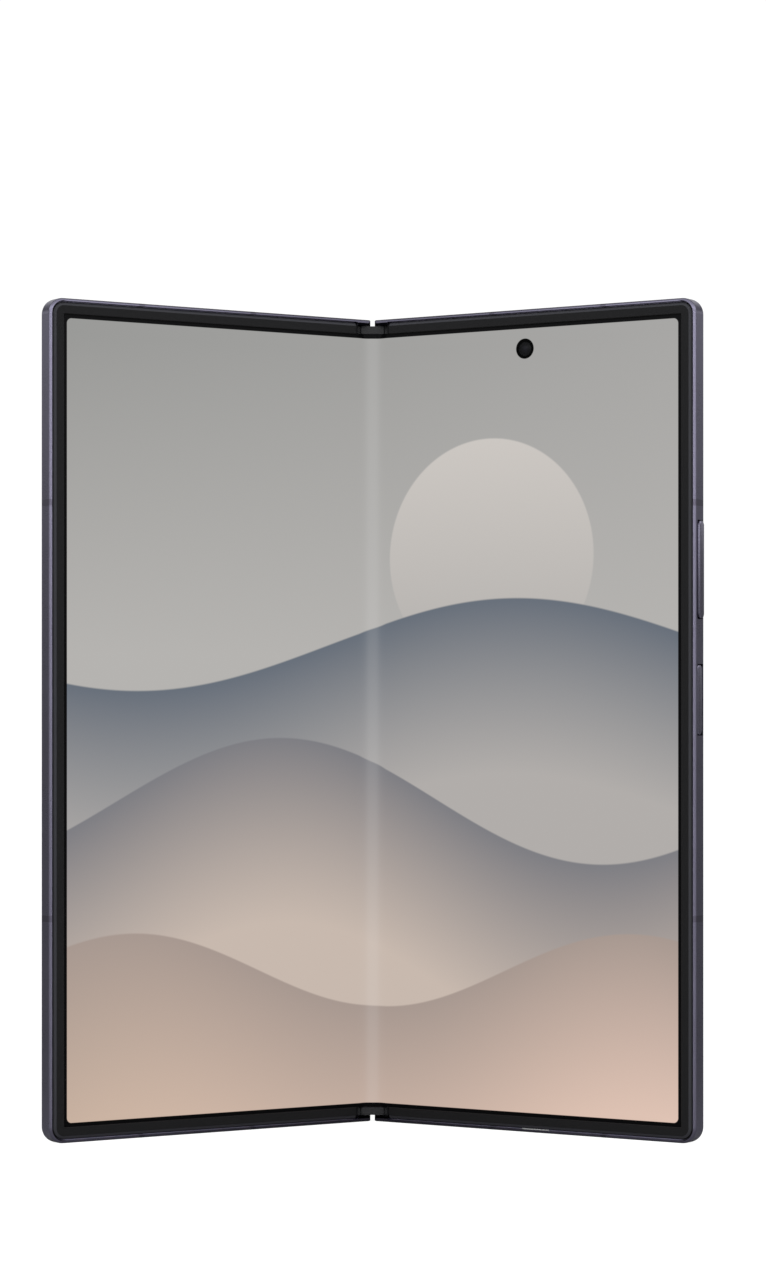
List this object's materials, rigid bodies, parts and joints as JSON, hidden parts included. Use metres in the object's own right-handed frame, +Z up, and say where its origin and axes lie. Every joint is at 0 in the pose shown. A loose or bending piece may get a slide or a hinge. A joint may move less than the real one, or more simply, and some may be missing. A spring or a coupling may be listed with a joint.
{
  "type": "foldable smartphone",
  "caption": "Book-style foldable smartphone, stood upright and half open, with a bendable inner screen, a geared hinge, a cover screen and a rear camera island.",
  "frame": {"origin": "under the middle of the half-open phone, on the surface that it stands on", "axes": "+Z up along the fold line, the inner screen faces -Y, and +X points to the half with the keys"},
  "size_m": [0.1243, 0.0412, 0.1584],
  "materials": {
    "frame_metal": "dark blue-grey anodised, satin",
    "key_metal": "dark blue-grey anodised, satin",
    "hinge_cover_metal": "dark anodised, satin",
    "hinge_steel": "bare, fine ground",
    "gear_brass": "bare",
    "black_polymer": "fine matt",
    "band_polymer": "fine matt",
    "screen": "glossy",
    "carbon_plate": "matt",
    "battery_wrap": "satin",
    "circuit_board": "satin solder mask",
    "shield_metal": "tinned",
    "copper": "bare",
    "back_glass": "matt etched",
    "black_glass": "glossy",
    "lens_glass": "glossy",
    "flash_polymer": "ribbed"
  },
  "bodies": {
    "spine": {"hinge_cover": "hinge_cover_metal", "hinge_end_caps": "black_polymer", "hinge_bases": "hinge_steel", "gear_shafts": "hinge_steel", "hinge_screws": "hinge_steel", "display_fold": "screen"},
    "right_half": {"right_frame": "frame_metal", "right_antenna_bands": "band_polymer", "right_bezel": "black_polymer", "right_display": "screen", "right_support_plate": "carbon_plate", "right_rail_arms": "hinge_steel", "right_battery": "battery_wrap", "main_board": "circuit_board", "board_chips": "black_polymer", "board_shields": "shield_metal", "sub_board": "circuit_board", "usb_port_shell": "shield_metal", "usb_port_tongue": "black_polymer", "right_speaker": "black_polymer", "haptic_case": "shield_metal", "front_camera": "black_polymer", "front_camera_lens": "lens_glass", "back_glass": "back_glass", "camera_island": "frame_metal", "camera_lens_rings": "frame_metal", "camera_lens_glasses": "lens_glass", "camera_modules": "black_polymer", "flash_lens": "flash_polymer", "charging_coil": "copper", "sim_reader": "shield_metal", "key_switches": "copper", "right_magnets": "shield_metal", "right_screws": "hinge_steel"},
    "left_half": {"left_frame": "frame_metal", "left_antenna_bands": "band_polymer", "left_bezel": "black_polymer", "left_display": "screen", "left_support_plate": "carbon_plate", "left_rail_arms": "hinge_steel", "left_battery": "battery_wrap", "left_board": "circuit_board", "left_speaker": "black_polymer", "cover_camera": "black_polymer", "cover_display_panel": "black_glass", "cover_glass": "black_glass", "left_magnets": "shield_metal", "left_screws": "hinge_steel"},
    "right_sync_arm": {"right_sync_arms": "hinge_steel"},
    "left_sync_arm": {"left_sync_arms": "hinge_steel"},
    "right_idler": {"right_idler_gears": "gear_brass"},
    "left_idler": {"left_idler_gears": "gear_brass"},
    "right_wing": {"right_wing_plate": "hinge_steel"},
    "left_wing": {"left_wing_plate": "hinge_steel"},
    "volume_key": {"volume_rocker": "key_metal"},
    "power_key": {"side_key": "key_metal"},
    "card_tray": {"sim_tray": "key_metal"},
    "haptic_mass": {"haptic_weight": "hinge_steel"}
  },
  "joints": [
    {"name": "right_fold", "type": "hinge", "parent": "spine", "child": "right_half", "pos_m": [0.0012, 0.0174, 0.0792], "axis": [0, 0, -1], "range_deg": [-32.25, 57.75], "deforming": ["display_fold"]},
    {"name": "left_fold", "type": "hinge", "parent": "spine", "child": "left_half", "pos_m": [-0.0012, 0.0174, 0.0792], "axis": [0, 0, 1], "range_deg": [-32.25, 57.75]},
    {"name": "right_sync_turn", "type": "hinge", "parent": "spine", "child": "right_sync_arm", "pos_m": [0.0018, 0.0181, 0.0792], "axis": [0, 0, -1], "range_deg": [-32.25, 57.75]},
    {"name": "left_sync_turn", "type": "hinge", "parent": "spine", "child": "left_sync_arm", "pos_m": [-0.0018, 0.0181, 0.0792], "axis": [0, 0, 1], "range_deg": [-32.25, 57.75]},
    {"name": "right_idler_turn", "type": "hinge", "parent": "spine", "child": "right_idler", "pos_m": [0.0006, 0.0181, 0.0792], "axis": [0, 0, 1], "range_deg": [-32.25, 57.75]},
    {"name": "left_idler_turn", "type": "hinge", "parent": "spine", "child": "left_idler", "pos_m": [-0.0006, 0.0181, 0.0792], "axis": [0, 0, -1], "range_deg": [-32.25, 57.75]},
    {"name": "right_wing_tilt", "type": "hinge", "parent": "right_half", "child": "right_wing", "pos_m": [0.00779, 0.01322, 0.0792], "axis": [0, 0, -1], "range_deg": [-2.9, 5.2]},
    {"name": "left_wing_tilt", "type": "hinge", "parent": "left_half", "child": "left_wing", "pos_m": [-0.00779, 0.01322, 0.0792], "axis": [0, 0, 1], "range_deg": [-2.9, 5.2]},
    {"name": "volume_rock", "type": "hinge", "parent": "right_half", "child": "volume_key", "pos_m": [0.05948, -0.01801, 0.1075], "axis": [0.5336, 0.8457, 0], "range_deg": [-1.5, 1.5], "stiffness_Nm_per_rad": 0.6},
    {"name": "side_key_press", "type": "slide", "parent": "right_half", "child": "power_key", "axis": [-0.8457, 0.5336, 0], "range_m": [0, 0.00025], "stiffness_N_per_m": 8000},
    {"name": "card_tray_slide", "type": "slide", "parent": "right_half", "child": "card_tray", "axis": [0, 0, 1], "range_m": [0, 0.024]},
    {"name": "haptic_shake", "type": "slide", "parent": "right_half", "child": "haptic_mass", "axis": [0.8457, -0.5336, 0], "range_m": [-0.0003, 0.0003], "stiffness_N_per_m": 600}
  ],
  "couplings": [
    {"joint": "left_fold", "follows": "right_fold", "ratio": 1},
    {"joint": "right_sync_turn", "follows": "right_fold", "ratio": 1},
    {"joint": "left_sync_turn", "follows": "right_fold", "ratio": 1},
    {"joint": "right_idler_turn", "follows": "right_fold", "ratio": 1},
    {"joint": "left_idler_turn", "follows": "right_fold", "ratio": 1},
    {"joint": "right_wing_tilt", "follows": "right_fold", "ratio": 0.09},
    {"joint": "left_wing_tilt", "follows": "right_fold", "ratio": 0.09}
  ]
}
